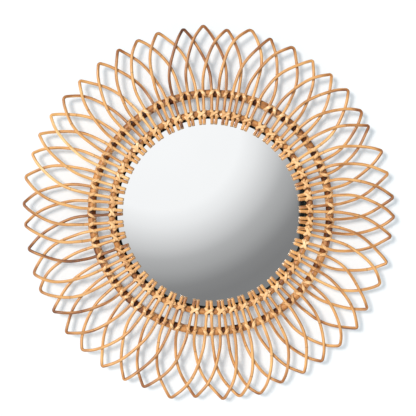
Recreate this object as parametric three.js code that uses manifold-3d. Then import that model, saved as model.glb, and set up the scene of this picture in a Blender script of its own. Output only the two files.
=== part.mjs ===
// Rattan sunflower wall mirror, in millimetres.
// +Z is up, the front faces -Y and the wall is the plane y = 0.
// The origin is the centre of the backing board's flat back.
// Angles go clockwise from the top, as seen from the front.

import * as THREE from 'three';
import { mergeVertices } from 'three/addons/utils/BufferGeometryUtils.js';
import Module from 'manifold-3d';

// Overall and pattern
const OVERALL_DIAMETER = 600;
const PETAL_COUNT = 50;
const PAIRS_PER_PETAL = 3;
const FIRST_PAIR_ANGLE = 2.3;

// Mirror glass and backing board
const GLASS_DIAMETER = 303;
const GLASS_THICKNESS = 3;
const BOARD_THICKNESS = 6;
const BOARD_UNDER_HOOP = 7;

// Hoops
const GLASS_TO_HOOP = 3.5;
const INNER_HOOP_THICKNESS = 10;
const BETWEEN_HOOPS = 20.5;
const OUTER_HOOP_THICKNESS = 13;
const OUTER_HOOP_PARTS = 4;

// Petal canes
const CANE_DIAMETER = 4.6;
const CANE_OVER_GLASS = 10;
const PAIR_SPACING_AT_OUTER_HOOP = 11;
const TIP_BEND_RADIUS = 4;
const SHOULDER_HANDLE = 0.3;
const TIP_HANDLE = 0.415;

// Hand-made unevenness, pair by pair and petal by petal, clockwise from the first pair: how far a
// pair and a tip lean clockwise of their even places in degrees, how far a tip stands out beyond
// the even ring, and half the angle in degrees between the legs at each tip
const PAIR_LEANS = [
  -0.4, -0.8, -2.1, -2.2, -0.7, -0.6, -0.8, -0.8, 0.2, -0.2,
  -0.9, -1, -0.6, -1, -1.9, -1.3, -0.6, -0.5, -0.9, -0.6,
  0.3, -0.1, 0, -0.6, -1.1, -1.2, -0.1, 0.9, 0.8, 1,
  1.1, 1.2, 1.5, 0.8, 0.3, 1.1, 1.3, 1.4, 1.2, 0.8,
  0.6, 0.2, 0.4, -0.1, -0.4, -0.6, 0.3, -0.6, -0.5, -0.5,
];
const TIP_LEANS = [
  -0.8, -1.4, -1.1, -0.9, -0.8, -0.9, -0.2, -2.2, -0.4, -0.3,
  0.1, -0.9, -1.9, -0.7, -1, 0.6, 0, 0.4, 0.5, 0,
  0.3, 0.6, -0.5, -2.5, -1.1, -0.8, 0.8, -0.1, 0.5, 1.2,
  1.2, 1.6, 1.9, 0.2, 0.7, 1.1, 0.3, 1.3, 1.5, 0.5,
  0.1, -0.3, -0.5, 0.3, 0.4, -0.2, -0.9, -0.1, -1.1, -0.9,
];
const TIP_REACHES = [
  1.5, -3, -2, -5, -4.3, -3.3, -6.8, -9.3, -6.3, -7.3,
  -4.5, -4.5, -6.8, -4.3, -4, -3.5, 0.7, -1.3, -0.5, -1,
  -3, 3, 0.5, 2, -1, 6.2, 2, 4.5, 4.5, 4,
  3.7, 1, 3.2, 2.2, 0.7, 1.2, 3, 5, 3.5, 4.5,
  2.7, 1.7, 0.5, 1.5, 2.7, 2, 2.5, -0.3, 1.7, -3.8,
];
const TIP_HALF_ANGLES = [
  53, 39, 46, 43, 42, 44, 46, 37, 39, 37,
  39, 45, 39, 39, 53, 38, 43, 53, 48, 45,
  53, 53, 48, 43, 43, 47, 46, 39, 40, 50,
  44, 38, 53, 53, 41, 45, 47, 46, 46, 40,
  41, 49, 37, 41, 37, 49, 45, 37, 43, 44,
];

// Lashings of rattan peel, a three-sided band over each pair of canes
const LASHING_WIDTH = 3.2;
const LASHING_THICKNESS = 1.2;
const LASHING_ROOT = 1;

// Sawtooth hanger, in a shallow recess near the top of the board
const HANGER_LENGTH = 44;
const HANGER_HEIGHT = 9;
const HANGER_THICKNESS = 1;
const HANGER_TOOTH = 2;
const HANGER_TEETH = 8;
const HANGER_FOOT = 6;
const HANGER_FROM_TOP = 40;
const HANGER_NAIL_ROOM = 1.6;
const HANGER_SIDE_ROOM = 3;

// Clearances between pieces that touch
const TOUCH = 0.3;

// Facets
const CANE_SIDES = 4;
const LEG_STATIONS = [0, 0.27, 0.57, 0.86];

// Sizes and depths that follow from the values above; a depth is counted forwards from the wall
const pitch = 360 / PETAL_COUNT;
const caneRadius = CANE_DIAMETER / 2;
const glassRadius = GLASS_DIAMETER / 2;
const innerHoopRadius = glassRadius + GLASS_TO_HOOP + INNER_HOOP_THICKNESS / 2;
const outerHoopRadius =
  innerHoopRadius + (INNER_HOOP_THICKNESS + OUTER_HOOP_THICKNESS) / 2 + BETWEEN_HOOPS;
const boardRadius = glassRadius + GLASS_TO_HOOP + BOARD_UNDER_HOOP;
const footRadius = glassRadius - CANE_OVER_GLASS;
const innerHoopDepth = BOARD_THICKNESS + TOUCH + INNER_HOOP_THICKNESS / 2;
const hoopFrontDepth = innerHoopDepth + INNER_HOOP_THICKNESS / 2;
const outerHoopDepth = hoopFrontDepth - OUTER_HOOP_THICKNESS / 2;
const caneDepth = hoopFrontDepth + TOUCH + caneRadius;
const caneFrontDepth = caneDepth + caneRadius;
const caneSpacing = CANE_DIAMETER + TOUCH;
const tipRadius = OVERALL_DIAMETER / 2 - caneRadius;
const hangerRecessDepth = HANGER_NAIL_ROOM + HANGER_THICKNESS + 2 * TOUCH;

const library = await Module();
library.setup();

/** A closed mesh as a manifold solid. */
function toSolid(geometry) {
  const bare = geometry.clone();
  bare.deleteAttribute('normal');
  bare.deleteAttribute('uv');
  const merged = mergeVertices(bare);
  return new library.Manifold(new library.Mesh({
    numProp: 3,
    vertProperties: new Float32Array(merged.attributes.position.array),
    triVerts: new Uint32Array(merged.index.array),
  }));
}

/** A manifold solid as a mesh for the scene graph. */
function toGeometry(solid) {
  const mesh = solid.getMesh();
  const geometry = new THREE.BufferGeometry();
  geometry.setAttribute('position', new THREE.BufferAttribute(mesh.vertProperties, mesh.numProp));
  geometry.setIndex(new THREE.BufferAttribute(mesh.triVerts, 1));
  geometry.computeVertexNormals();
  return geometry;
}

/** The point at an angle, a radius and a depth, moved sideways along the clockwise tangent. */
function pointAt(angle, radius, depth, sideways = 0) {
  const turn = THREE.MathUtils.degToRad(angle);
  return new THREE.Vector3(
    radius * Math.sin(turn) + sideways * Math.cos(turn),
    -depth,
    radius * Math.cos(turn) - sideways * Math.sin(turn),
  );
}

/** The angle of a pair of canes; the pairs are numbered clockwise and go round. */
function pairAngle(number) {
  const around = (number % PETAL_COUNT + PETAL_COUNT) % PETAL_COUNT;
  return FIRST_PAIR_ANGLE + number * pitch + PAIR_LEANS[around];
}

/** Half the spacing of a pair of canes at a radius: they touch at their ends and spread outwards. */
function halfSpacing(radius) {
  const share = (radius - footRadius) / (outerHoopRadius - footRadius);
  return THREE.MathUtils.lerp(caneSpacing, PAIR_SPACING_AT_OUTER_HOOP, share) / 2;
}

/** A path with its sections at the given points, each square to its own direction. */
class BentPath extends THREE.Curve {
  constructor(points, directions) {
    super();
    this.points = points;
    this.directions = directions;
  }

  getPointAt(share, target = new THREE.Vector3()) {
    return target.copy(this.points[Math.round(share * (this.points.length - 1))]);
  }

  getTangentAt(share, target = new THREE.Vector3()) {
    return target.copy(this.directions[Math.round(share * (this.points.length - 1))]);
  }
}

/** At each point, the direction that halves the bend there. */
function bendDirections(points) {
  const stretches = points.slice(1).map((point, place) => point.clone().sub(points[place]).normalize());
  return points.map((point, place) => {
    const before = stretches[Math.max(place - 1, 0)];
    const after = stretches[Math.min(place, stretches.length - 1)];
    return before.clone().add(after).normalize();
  });
}

/** A section swept through points, one flat-sided stretch between each two. */
function sweep(section, points, directions = bendDirections(points)) {
  return new THREE.ExtrudeGeometry(section, {
    steps: points.length - 1,
    extrudePath: new BentPath(points, directions),
  });
}

/** The round section of a cane, as a polygon with its corners on the circle, one facing forwards. */
function caneSection() {
  const corners = [];
  for (let corner = 0; corner < CANE_SIDES; corner += 1) {
    const turn = (2 * Math.PI * corner) / CANE_SIDES;
    corners.push(new THREE.Vector2(caneRadius * Math.cos(turn), caneRadius * Math.sin(turn)));
  }
  return new THREE.Shape(corners);
}

/** Where a petal's tip stands. */
function tipPoint(number) {
  const middle = FIRST_PAIR_ANGLE + (number + PAIRS_PER_PETAL / 2) * pitch;
  return pointAt(middle + TIP_LEANS[number], tipRadius + TIP_REACHES[number], caneDepth);
}

/** One leg of a petal, from its end over the glass to the last point before the tip bend. */
function legPoints(angle, side, tip, bend, outwards, towardsLeg) {
  const hoopEdge = outerHoopRadius + OUTER_HOOP_THICKNESS / 2;
  const foot = pointAt(angle, footRadius, caneDepth, side * halfSpacing(footRadius));
  const edge = pointAt(angle, hoopEdge, caneDepth, side * halfSpacing(hoopEdge));
  const along = edge.clone().sub(foot).normalize();
  const sharpTip = tip.clone().addScaledVector(outwards, TIP_BEND_RADIUS * (1 / Math.sin(bend) - 1));
  const reach = edge.distanceTo(sharpTip);
  const shoulder = edge.clone().addScaledVector(along, SHOULDER_HANDLE * reach);
  const beforeTip = sharpTip.clone()
    .addScaledVector(outwards, -TIP_HANDLE * reach * Math.cos(bend))
    .addScaledVector(towardsLeg, TIP_HANDLE * reach * Math.sin(bend));
  const curve = new THREE.CubicBezierCurve3(edge, shoulder, beforeTip, sharpTip);
  const points = LEG_STATIONS.map((share) => curve.getPoint(share));
  points.slice(1).forEach((point) => point.setY(point.y - side * caneSpacing / 2));
  const corner = TIP_BEND_RADIUS * (1 / Math.cos(bend) - Math.tan(bend));
  return [foot, ...points, tip.clone().addScaledVector(towardsLeg, corner)];
}

/** The points that a petal's cane is bent through, from its left end to its right end. */
function petalPoints(number) {
  const tip = tipPoint(number);
  const leftAngle = pairAngle(number);
  const rightAngle = pairAngle(number + PAIRS_PER_PETAL);
  const left = pointAt(leftAngle, outerHoopRadius, caneDepth, halfSpacing(outerHoopRadius));
  const right = pointAt(rightAngle, outerHoopRadius, caneDepth, -halfSpacing(outerHoopRadius));
  const outwards = tip.clone().sub(left.clone().add(right).multiplyScalar(0.5)).normalize();
  const clockwise = new THREE.Vector3(outwards.z, 0, -outwards.x);
  const counter = clockwise.clone().negate();
  const bend = THREE.MathUtils.degToRad(TIP_HALF_ANGLES[number]);
  const leftLeg = legPoints(leftAngle, 1, tip, bend, outwards, counter);
  const rightLeg = legPoints(rightAngle, -1, tip, bend, outwards, clockwise);
  return [...leftLeg, ...rightLeg.reverse()];
}

/** A pole's section, outwards and back: six sides, with the round pole's breadth, depth and area. */
function poleSection(thickness) {
  const half = thickness / 2;
  const flat = half * (Math.PI / 2 - 1);
  return [[flat, -half], [half, 0], [flat, half], [-flat, half], [-half, 0], [-flat, -half]]
    .map(([outwards, back]) => new THREE.Vector2(outwards, back));
}

/** A pole bent to a whole ring. */
function ringPole(radius, depth, thickness) {
  const section = poleSection(thickness);
  const profile = [...section, section[0]]
    .map((corner) => new THREE.Vector2(radius + corner.x, corner.y - depth));
  const start = THREE.MathUtils.degToRad(FIRST_PAIR_ANGLE - pitch / 2);
  return new THREE.LatheGeometry(profile, PETAL_COUNT, start);
}

/** A stretch of a bent pole under some pairs of canes, its ends just clear of the next stretches. */
function poleStretch(radius, depth, thickness, firstPair, lastPair) {
  const section = poleSection(thickness).map((corner) => new THREE.Vector2(corner.y, corner.x));
  const angles = [];
  for (let number = firstPair; number <= lastPair + 1; number += 1) {
    angles.push((pairAngle(number - 1) + pairAngle(number)) / 2);
  }
  const points = angles.map((angle) => pointAt(angle, radius, depth));
  const directions = angles.map((angle) => pointAt(angle + 90, 1, 0));
  points[0].addScaledVector(directions[0], TOUCH / 2);
  points.at(-1).addScaledVector(directions.at(-1), -TOUCH / 2);
  return sweep(new THREE.Shape(section), points, directions);
}

/** The lashing over one pair of canes, with its two feet in the front of the hoop at a radius. */
function lashing(number, radius) {
  const half = LASHING_WIDTH / 2;
  const side = halfSpacing(radius + half) + caneRadius + TOUCH;
  const front = caneFrontDepth + TOUCH;
  const root = hoopFrontDepth - LASHING_ROOT;
  const middle = radius * Math.cos(THREE.MathUtils.degToRad(pitch / 2));
  const points = [[-side, root], [-side, front], [side, front], [side, root]]
    .map(([sideways, depth]) => new THREE.Vector3(sideways, -depth, middle));
  const [, firstTurn, lastTurn] = bendDirections(points);
  const ridge = LASHING_THICKNESS / Math.SQRT1_2;
  const section = new THREE.Shape([
    new THREE.Vector2(-half, 0), new THREE.Vector2(0, -ridge), new THREE.Vector2(half, 0),
  ]);
  const band = sweep(section, points, [firstTurn, firstTurn, lastTurn, lastTurn]);
  return band.rotateY(THREE.MathUtils.degToRad(pairAngle(number)));
}

/** A pole with one lashing fused on for each pair of canes, from the first to the last. */
function lashed(pole, radius, firstPair, lastPair) {
  let solid = toSolid(pole);
  for (let number = firstPair; number <= lastPair; number += 1) {
    solid = solid.add(toSolid(lashing(number, radius)));
  }
  return toGeometry(solid);
}

/** A round plate between two depths. */
function disc(radius, back, front) {
  const profile = [[0, -front], [radius, -front], [radius, -back], [0, -back]]
    .map(([out, y]) => new THREE.Vector2(out, y));
  return new THREE.LatheGeometry(profile, PETAL_COUNT);
}

/** A box with its lowest corner and its sizes given. */
function box(x, y, z, width, deep, high) {
  return new THREE.BoxGeometry(width, deep, high).translate(x + width / 2, y + deep / 2, z + high / 2);
}

/** The board, with the hanger's recess in its back. */
function board() {
  const wide = HANGER_LENGTH + 2 * HANGER_SIDE_ROOM;
  const high = HANGER_HEIGHT + 2 * HANGER_SIDE_ROOM;
  const bottom = boardRadius - HANGER_FROM_TOP - HANGER_HEIGHT - HANGER_SIDE_ROOM;
  const cutter = box(-wide / 2, -hangerRecessDepth, bottom, wide, 2 * hangerRecessDepth, high);
  return toGeometry(toSolid(disc(boardRadius, 0, BOARD_THICKNESS)).subtract(toSolid(cutter)));
}

/** The steel strip with a row of teeth, raised on its two ends so that a nail fits behind it. */
function hanger() {
  const half = HANGER_LENGTH / 2;
  const top = boardRadius - HANGER_FROM_TOP;
  const toothed = HANGER_LENGTH - 2 * HANGER_FOOT;
  const outline = [new THREE.Vector2(-half, 0), new THREE.Vector2(-half, -HANGER_HEIGHT)];
  for (let tooth = 0; tooth < HANGER_TEETH; tooth += 1) {
    const left = -toothed / 2 + (tooth * toothed) / HANGER_TEETH;
    outline.push(new THREE.Vector2(left, -HANGER_HEIGHT));
    outline.push(new THREE.Vector2(left + toothed / HANGER_TEETH / 2, HANGER_TOOTH - HANGER_HEIGHT));
  }
  outline.push(new THREE.Vector2(toothed / 2, -HANGER_HEIGHT));
  outline.push(new THREE.Vector2(half, -HANGER_HEIGHT), new THREE.Vector2(half, 0));
  const strip = new THREE.ExtrudeGeometry(new THREE.Shape(outline), {
    depth: HANGER_THICKNESS,
    bevelEnabled: false,
  });
  strip.rotateX(Math.PI / 2).translate(0, -TOUCH, top);
  const footBack = -TOUCH - HANGER_THICKNESS - HANGER_NAIL_ROOM;
  const footDeep = HANGER_NAIL_ROOM + HANGER_THICKNESS / 2;
  const bottom = top - HANGER_HEIGHT;
  const leftFoot = box(-half, footBack, bottom, HANGER_FOOT, footDeep, HANGER_HEIGHT);
  const rightFoot = box(half - HANGER_FOOT, footBack, bottom, HANGER_FOOT, footDeep, HANGER_HEIGHT);
  return toGeometry(toSolid(strip).add(toSolid(leftFoot)).add(toSolid(rightFoot)));
}

/** A standard material in one of the mirror's colours. */
function material(color, roughness, metalness = 0) {
  return new THREE.MeshStandardMaterial({ color, roughness, metalness });
}

const group = new THREE.Group();

/** Adds one named piece, with a material of its own. */
function addPiece(name, geometry, finish) {
  const mesh = new THREE.Mesh(geometry, finish);
  mesh.name = name;
  group.add(mesh);
}

const glassBack = BOARD_THICKNESS + TOUCH;
const glassFront = glassBack + GLASS_THICKNESS;
addPiece('backing_board', board(), material('#17140f', 0.8));
addPiece('sawtooth_hanger', hanger(), material('#9a9a98', 0.4, 1));
addPiece('mirror_glass', disc(glassRadius, glassBack, glassFront), material('#c9cdcf', 0.05, 1));

const innerPole = ringPole(innerHoopRadius, innerHoopDepth, INNER_HOOP_THICKNESS);
addPiece('inner_hoop', lashed(innerPole, innerHoopRadius, 0, PETAL_COUNT - 1), material('#a97243', 0.6));
for (let part = 0; part < OUTER_HOOP_PARTS; part += 1) {
  const first = Math.round((part * PETAL_COUNT) / OUTER_HOOP_PARTS);
  const last = Math.round(((part + 1) * PETAL_COUNT) / OUTER_HOOP_PARTS) - 1;
  const pole = poleStretch(outerHoopRadius, outerHoopDepth, OUTER_HOOP_THICKNESS, first, last);
  addPiece(`outer_hoop_${part + 1}`, lashed(pole, outerHoopRadius, first, last), material('#a97243', 0.6));
}

for (let number = 0; number < PETAL_COUNT; number += 1) {
  const name = `petal_${String(number + 1).padStart(2, '0')}`;
  addPiece(name, sweep(caneSection(), petalPoints(number)), material('#ddae7d', 0.5));
}

export default group;
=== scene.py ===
"""Dresses the round wall mirror in its sunflower frame of bent rattan canes.

Lengths in the classes are millimetres, as in the part's source, and meshes are metres. An angle
round the mirror is in degrees, clockwise from the top as seen from the front. A depth is counted
forwards from the wall, so that a point at that depth has y = -depth.
"""

import logging
import math
import random
from collections.abc import Sequence
from dataclasses import dataclass, replace
from enum import Enum

import bmesh
import bpy
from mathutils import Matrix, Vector


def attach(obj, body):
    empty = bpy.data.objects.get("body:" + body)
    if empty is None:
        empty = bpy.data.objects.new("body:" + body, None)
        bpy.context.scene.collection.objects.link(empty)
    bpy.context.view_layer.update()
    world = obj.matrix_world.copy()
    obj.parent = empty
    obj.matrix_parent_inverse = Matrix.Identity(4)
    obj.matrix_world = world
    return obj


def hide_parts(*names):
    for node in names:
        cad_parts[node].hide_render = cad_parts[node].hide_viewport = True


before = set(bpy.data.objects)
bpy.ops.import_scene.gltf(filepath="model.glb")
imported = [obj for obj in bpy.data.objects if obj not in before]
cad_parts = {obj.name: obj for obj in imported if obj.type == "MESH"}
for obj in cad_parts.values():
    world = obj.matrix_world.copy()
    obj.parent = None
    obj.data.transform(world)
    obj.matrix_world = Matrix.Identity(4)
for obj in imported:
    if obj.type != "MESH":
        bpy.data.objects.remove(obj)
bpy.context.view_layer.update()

MILLIMETRE = 0.001
BODY = "root"
INNER_HOOP_NODES = ("inner_hoop",)
OUTER_HOOP_NODES = ("outer_hoop_1", "outer_hoop_2", "outer_hoop_3", "outer_hoop_4")
LOG = logging.getLogger("rattan_mirror")

Shade = tuple[int, int, int]
Colour = tuple[float, float, float, float]
Span = tuple[float, float]
Triple = tuple[float, float, float]

# Screen colours follow a straight line near black, and a power from there on.
SCREEN_WHITE = 255
STRAIGHT_END = 0.04045
STRAIGHT_SLOPE = 12.92
CURVE_OFFSET = 0.055
CURVE_POWER = 2.4

# The span of a full step, the span that noise mostly keeps to, and that of the pieces' seeds.
WHOLE = (0.0, 1.0)
USUAL_NOISE = (0.3, 0.7)
SEEDS = (0, 90)

HALF_TURN = 180
FULL_TURN = 360


def linear(red: int, green: int, blue: int) -> Colour:
    """The scene's colour for a screen colour.

    Args:
        red, green, blue: the screen values from 0 to 255.

    Returns:
        The linear colour, opaque.
    """
    def straight(value: int) -> float:
        """The linear value of one channel."""
        share = value / SCREEN_WHITE
        if share <= STRAIGHT_END:
            return share / STRAIGHT_SLOPE
        return ((share + CURVE_OFFSET) / (1 + CURVE_OFFSET)) ** CURVE_POWER

    return (straight(red), straight(green), straight(blue), 1.0)


def grey(value: float) -> Colour:
    """An opaque grey of a linear value."""
    return (value, value, value, 1.0)


def dimmed(colour: Colour, share: float) -> Colour:
    """A colour with its light cut to a share."""
    red, green, blue, _ = colour
    return (red * share, green * share, blue * share, 1.0)


def mix(start: float, end: float, share: float) -> float:
    """The value at a share of the way from start to end."""
    return start + (end - start) * share


def ease(share: float) -> float:
    """A soft step from 0 to 1 as the share goes from 0 to 1."""
    held = min(max(share, 0.0), 1.0)
    return held * held * (3 - 2 * held)


def angle_between(first: float, second: float) -> float:
    """The angle between two directions, in degrees."""
    apart = abs(first - second)
    return min(apart, FULL_TURN - apart)


@dataclass(frozen=True)
class Pattern:
    """Noise: how often it changes along each axis, its finer layers and how much it counts."""

    stretch: Triple
    detail: float = 2.0
    weight: float = 1.0


class NodeBench:
    """Adds nodes to a tree and joins them, one call for each node."""

    def __init__(self, tree: bpy.types.NodeTree) -> None:
        """Keeps the tree that the nodes go into."""
        self.tree = tree

    @staticmethod
    def socket(sockets: bpy.types.bpy_prop_collection, key: str | int) -> bpy.types.NodeSocket:
        """Finds a socket by its identifier, and by its name or place where none has that.

        Args:
            sockets: a node's inputs or outputs.
            key: the identifier, name or place.

        Returns:
            The socket.
        """
        for item in sockets:
            if item.identifier == key:
                return item
        return sockets[key]

    def give(self, node: bpy.types.Node, inputs: dict) -> None:
        """Sets a node's inputs to values, or joins them to sockets.

        Args:
            node: the node.
            inputs: a value, or a socket to join, for each input.
        """
        for key, value in inputs.items():
            target = self.socket(node.inputs, key)
            if isinstance(value, bpy.types.NodeSocket):
                self.tree.links.new(value, target)
            else:
                target.default_value = value

    def add(self, kind: str, inputs: dict | None = None, **settings: object) -> bpy.types.Node:
        """Adds a node.

        Args:
            kind: the node's type.
            inputs: a value, or a socket to join, for each input.
            settings: the node's own properties.

        Returns:
            The node.
        """
        node = self.tree.nodes.new(kind)
        for name, value in settings.items():
            setattr(node, name, value)
        self.give(node, inputs or {})
        return node

    def math(self, operation: str, *values: object) -> bpy.types.NodeSocket:
        """The result of a Math node on numbers or sockets."""
        node = self.add("ShaderNodeMath", dict(enumerate(values)), operation=operation)
        return node.outputs[0]

    def vector(self, operation: str, *values: object,
               output: str | int = 0) -> bpy.types.NodeSocket:
        """The result of a Vector Math node on vectors or sockets."""
        node = self.add("ShaderNodeVectorMath", dict(enumerate(values)), operation=operation)
        return node.outputs[output]

    def blend(self, share: object, first: object, second: object) -> bpy.types.NodeSocket:
        """The colour of a Mix node.

        Args:
            share: how much of the second colour is taken.
            first, second: the colours, or sockets.

        Returns:
            The colour socket.
        """
        inputs = {"Factor_Float": share, "A_Color": first, "B_Color": second}
        node = self.add("ShaderNodeMix", inputs, data_type="RGBA", blend_type="MIX")
        return self.socket(node.outputs, "Result_Color")

    def ramp(self, value: object, stops: list[tuple[float, tuple]]) -> bpy.types.NodeSocket:
        """The colour of a ramp.

        Args:
            value: the place on the ramp, from 0 to 1.
            stops: places and their colours.

        Returns:
            The colour socket.
        """
        node = self.add("ShaderNodeValToRGB", {"Fac": value})
        elements = node.color_ramp.elements
        while len(elements) < len(stops):
            elements.new(1.0)
        for element, (place, colour) in zip(elements, stops):
            element.position = place
            element.color = colour
        return node.outputs["Color"]

    def limits(self, value: object, span: Span, result: Span = WHOLE) -> bpy.types.NodeSocket:
        """The value carried from one span to another, with a soft step."""
        low, high = span
        start, end = result
        inputs = {"Value": value, "From Min": low, "From Max": high, "To Min": start, "To Max": end}
        node = self.add("ShaderNodeMapRange", inputs, interpolation_type="SMOOTHSTEP")
        return node.outputs["Result"]

    def noise(self, place: object, pattern: Pattern,
              shift: bpy.types.NodeSocket | None = None) -> bpy.types.NodeSocket:
        """Noise on a stretched place.

        Args:
            place: the vector socket.
            pattern: the noise's pattern.
            shift: what moves the pattern, to tell pieces apart.

        Returns:
            The value socket, about 0.5 on average.
        """
        moved = self.vector("MULTIPLY", place, pattern.stretch)
        if shift is not None:
            moved = self.vector("ADD", moved, shift)
        node = self.add("ShaderNodeTexNoise",
                        {"Vector": moved, "Scale": 1.0, "Detail": pattern.detail})
        return node.outputs["Fac"]

    def relief(self, height: object, strength: float, distance: float) -> bpy.types.NodeSocket:
        """The surface's direction under a bump of a strength and a height in millimetres."""
        inputs = {"Strength": strength, "Distance": distance * MILLIMETRE, "Height": height}
        return self.add("ShaderNodeBump", inputs).outputs["Normal"]

    def place(self) -> bpy.types.NodeSocket:
        """The place on the object that is shaded."""
        return self.add("ShaderNodeTexCoord").outputs["Object"]

    def reading(self, name: str, output: str = "Fac") -> bpy.types.NodeSocket:
        """A piece's own attribute, as a number or, with the output Vector, as a vector."""
        node = self.add("ShaderNodeAttribute", attribute_name=name, attribute_type="GEOMETRY")
        return node.outputs[output]

    def named(self, name: str, kind: str = "FLOAT") -> bpy.types.NodeSocket:
        """A named attribute of the geometry."""
        node = self.add("GeometryNodeInputNamedAttribute", {"Name": name}, data_type=kind)
        return node.outputs["Attribute"]

    def store(self, geometry: bpy.types.NodeSocket, name: str, value: object,
              kind: str = "FLOAT") -> bpy.types.NodeSocket:
        """The geometry with a named attribute on its points."""
        inputs = {"Geometry": geometry, "Name": name, "Value": value}
        node = self.add("GeometryNodeStoreNamedAttribute", inputs, data_type=kind, domain="POINT")
        return node.outputs[0]

    def end(self, geometry: bpy.types.NodeSocket, finish: bpy.types.NodeSocket,
            result: str) -> None:
        """Ends a geometry tree with real, dressed geometry at its output."""
        real = self.add("GeometryNodeRealizeInstances", {"Geometry": geometry})
        dressed = self.add("GeometryNodeSetMaterial",
                           {"Geometry": real.outputs[0], "Material": finish})
        self.add("NodeGroupOutput", {result: dressed.outputs[0]})


def new_material(name: str) -> tuple[bpy.types.Material, NodeBench, bpy.types.Node]:
    """Starts a material.

    Args:
        name: the material's name.

    Returns:
        The material, its bench and its main shader node.
    """
    material = bpy.data.materials.new(name)
    material.use_nodes = True
    return material, NodeBench(material.node_tree), material.node_tree.nodes["Principled BSDF"]


def new_tree(name: str, inputs: dict[str, str], result: str) -> tuple[
        bpy.types.GeometryNodeTree, NodeBench, bpy.types.bpy_prop_collection]:
    """Starts a geometry tree.

    Args:
        name: the tree's name.
        inputs: the kind of each named input.
        result: the name of its output.

    Returns:
        The tree, its bench and the sockets that its inputs arrive at.
    """
    tree = bpy.data.node_groups.new(name, "GeometryNodeTree")
    for label, kind in inputs.items():
        tree.interface.new_socket(label, in_out="INPUT", socket_type=f"NodeSocket{kind}")
    tree.interface.new_socket(result, in_out="OUTPUT", socket_type="NodeSocketGeometry")
    bench = NodeBench(tree)
    return tree, bench, bench.add("NodeGroupInput").outputs


@dataclass(frozen=True)
class CaneFinish:
    """Peeled and lacquered rattan, whose grain follows the piece."""

    name: str
    deepest: Shade
    dark: Shade
    middle: Shade
    light: Shade
    palest: Shade
    cut_end: Shade = (243, 206, 158)
    usual_place: float = 0.5
    tone_reach: float = 0.42
    mottle: Pattern = Pattern((0.9, 0.9, 42.0), 2.0, 0.85)
    stretches: Pattern = Pattern((0.2, 0.2, 11.0), 1.0, 0.64)
    fibres: Pattern = Pattern((7.0, 7.0, 28.0), 3.0, 0.4)
    pores: Pattern = Pattern((9.0, 9.0, 9.0), 1.0)
    open_pores: Span = (0.35, 0.6)
    ring_shade: float = 0.4
    # How far scorch at the canes' bends, and the painted shade on the hoops, darken the tone.
    scorch_and_shade_depth: float = 0.55
    fibre_depth: float = 0.25
    fibre_height: float = 0.25
    roughness: Span = (0.36, 0.56)
    specular: float = 0.5
    coat: float = 0.28
    coat_roughness: float = 0.28

    def tone(self, bench: NodeBench, noises: list[bpy.types.NodeSocket]) -> bpy.types.NodeSocket:
        """The place on the ramp of shades, from deepest to palest.

        Args:
            bench: the material's bench.
            noises: the mottle, the stretches and the fibres.

        Returns:
            The value socket.
        """
        tone = bench.math("MULTIPLY_ADD", bench.reading("tone"), self.tone_reach, self.usual_place)
        for noise, pattern in zip(noises, (self.mottle, self.stretches, self.fibres)):
            moved = bench.math("MULTIPLY_ADD", noise, pattern.weight, -pattern.weight / 2)
            tone = bench.math("ADD", tone, moved)
        # Scorch at the canes' bends, and painted shade on the hoops between each pair's canes, pull
        # the tone towards the deepest shade.
        return bench.math("MULTIPLY_ADD", bench.reading("scorch_and_shade"), -self.scorch_and_shade_depth, tone)

    def make(self) -> bpy.types.Material:
        """The material: mottled along the cane, streaked with fibres, ringed at its joints."""
        material, bench, shader = new_material(self.name)
        grain, seed = bench.reading("grain", "Vector"), bench.reading("seed")
        mottle, stretches, fibres, pores = (
            bench.noise(grain, pattern, seed)
            for pattern in (self.mottle, self.stretches, self.fibres, self.pores))
        shades = (self.deepest, self.dark, self.middle, self.light, self.palest)
        stops = [(place / (len(shades) - 1), linear(*shade)) for place, shade in enumerate(shades)]
        colour = bench.ramp(self.tone(bench, [mottle, stretches, fibres]), stops)
        ring = bench.math("MULTIPLY", bench.reading("ring"), self.ring_shade)
        colour = bench.blend(ring, colour, linear(*self.deepest))
        end = bench.blend(bench.limits(pores, self.open_pores),
                          linear(*self.light), linear(*self.cut_end))
        # Coat and specular shine are cut where scorch or painted shade darkens the cane, so the
        # painted shade shows no reflection.
        unscorched_unshaded = bench.math("SUBTRACT", 1.0, bench.reading("scorch_and_shade"))
        bench.give(shader, {
            "Base Color": bench.blend(bench.reading("cut"), colour, end),
            "Roughness": bench.limits(mottle, USUAL_NOISE, self.roughness),
            "Normal": bench.relief(fibres, self.fibre_depth, self.fibre_height),
            "Coat Weight": bench.math("MULTIPLY", unscorched_unshaded, self.coat),
            "Coat Roughness": self.coat_roughness,
            "Specular IOR Level": bench.math("MULTIPLY", unscorched_unshaded, self.specular),
        })
        return material


@dataclass(frozen=True)
class SmoothFinish:
    """A hard surface that wavers between two shades and between two roughnesses."""

    name: str
    first: Colour
    second: Colour
    waver: Pattern
    roughness: Span
    rubs: Pattern | None = None
    metallic: float = 0.0

    def make(self) -> bpy.types.Material:
        """The material, its roughness following the rubs where it has any."""
        material, bench, shader = new_material(self.name)
        place = bench.place()
        waver = bench.noise(place, self.waver)
        rubs = bench.noise(place, self.rubs) if self.rubs else waver
        bench.give(shader, {
            "Base Color": bench.blend(waver, self.first, self.second),
            "Roughness": bench.limits(rubs, USUAL_NOISE, self.roughness),
            "Metallic": self.metallic,
        })
        return material


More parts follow.
